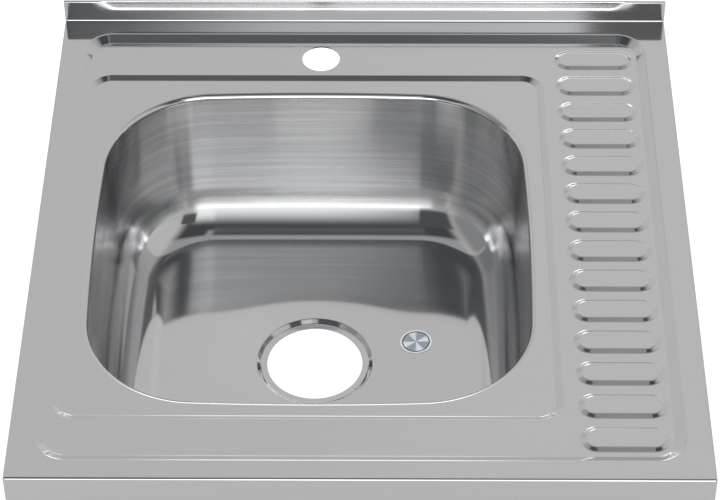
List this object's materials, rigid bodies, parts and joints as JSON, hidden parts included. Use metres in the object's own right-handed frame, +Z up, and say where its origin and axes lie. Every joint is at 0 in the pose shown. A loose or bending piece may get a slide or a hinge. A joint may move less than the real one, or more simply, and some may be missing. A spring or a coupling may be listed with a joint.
{
  "type": "kitchen sink",
  "caption": "Lay-on stainless steel kitchen sink with a square bowl, a ribbed drainer strip at its right, a rear upstand, a tap hole and folded skirts.",
  "frame": {"origin": "centre of the drain hole, on the recessed seat that the waste flange lies on", "axes": "+Z up along the drain's axis, +X to the drainer at the right, +Y to the upstand at the rear, front towards -Y"},
  "size_m": [0.6, 0.6, 0.2023],
  "materials": {
    "deck_steel": "stainless sheet, fine even grain, nearly a mirror at low angles",
    "bowl_steel": "stainless, polished with fine brush lines",
    "galvanised": "galvanised steel with a faint spangle",
    "bitumen": "matt bitumen sheet",
    "plated_steel": "bright zinc plate",
    "plain_steel": "mill finish",
    "brass": "plain turned",
    "foil": "bright foil with a plain ring, no lettering"
  },
  "bodies": {
    "root": {"deck": "deck_steel", "bowl": "bowl_steel", "front_channel": "galvanised", "rear_channel": "galvanised", "left_channel": "galvanised", "right_channel": "galvanised", "tap_plate": "galvanised", "floor_pad": "bitumen", "front_pad": "bitumen", "rear_pad": "bitumen", "left_pad": "bitumen", "right_pad": "bitumen", "front_left_strap": "galvanised", "front_right_strap": "galvanised", "rear_left_strap": "galvanised", "rear_right_strap": "galvanised", "strap_screws": "plated_steel", "earth_tag": "plain_steel", "earth_screw": "brass", "earth_washer": "brass", "earth_nut": "brass", "foil_label": "foil"}
  },
  "joints": []
}
